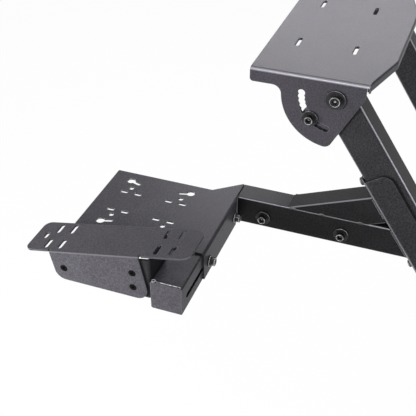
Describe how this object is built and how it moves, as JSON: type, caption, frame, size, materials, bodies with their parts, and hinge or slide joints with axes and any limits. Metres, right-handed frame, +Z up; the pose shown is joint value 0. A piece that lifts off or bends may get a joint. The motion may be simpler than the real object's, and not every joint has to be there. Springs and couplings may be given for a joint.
{
  "type": "racing wheel stand",
  "caption": "Open steel floor stand with leaning uprights, a tilting wheel deck, a pedal plate and a side arm that carries a shifter plate and a handbrake plate.",
  "frame": {"origin": "on the floor, under the middle of the rear foot bar and midway between the uprights", "axes": "+Z up, +Y forward from the driver to the pedals, +X to the driver's right, where the side arm is"},
  "size_m": [0.714, 1.3204, 0.692],
  "materials": {
    "frame_powder_coat": "satin fine-textured powder coat",
    "arm_powder_coat": "satin fine-textured powder coat",
    "plate_powder_coat": "satin fine-textured powder coat",
    "deck_powder_coat": "satin fine-textured powder coat",
    "cap_plastic": "moulded, matt",
    "black_bolts": "black oxide, oiled"
  },
  "bodies": {
    "stand": {"arm_bolts": "black_bolts", "arm_brace": "arm_powder_coat", "arm_bracket": "arm_powder_coat", "bracket_bolts": "black_bolts", "cross_tube": "arm_powder_coat", "cross_tube_caps": "arm_powder_coat", "front_bar_caps": "cap_plastic", "front_foot_bar": "frame_powder_coat", "front_pedal_bar": "frame_powder_coat", "handbrake_bracket": "plate_powder_coat", "handbrake_bracket_bolts": "black_bolts", "handbrake_plate": "plate_powder_coat", "handbrake_screws": "black_bolts", "left_foot_gusset": "frame_powder_coat", "left_lock_lug": "frame_powder_coat", "left_rail": "frame_powder_coat", "left_strut": "frame_powder_coat", "left_upright": "frame_powder_coat", "lock_bolts": "black_bolts", "pedal_plate": "plate_powder_coat", "pivot_bolts": "black_bolts", "rear_bar_caps": "cap_plastic", "rear_foot_bar": "frame_powder_coat", "rear_pedal_bar": "frame_powder_coat", "right_foot_gusset": "frame_powder_coat", "right_lock_lug": "frame_powder_coat", "right_rail": "frame_powder_coat", "right_strut": "frame_powder_coat", "right_upright": "frame_powder_coat", "side_arm": "arm_powder_coat", "upright_tie": "frame_powder_coat"},
    "deck": {"wheel_deck": "deck_powder_coat"},
    "shifter": {"shifter_plate": "plate_powder_coat", "slide_bolts": "black_bolts"}
  },
  "joints": [
    {"name": "deck_tilt", "type": "hinge", "parent": "stand", "child": "deck", "pos_m": [0, -0.237, 0.662], "axis": [1, 0, 0], "range_deg": [-32, 48]},
    {"name": "shifter_slide", "type": "slide", "parent": "stand", "child": "shifter", "axis": [1, 0, 0], "range_m": [-0.008, 0.013]}
  ]
}
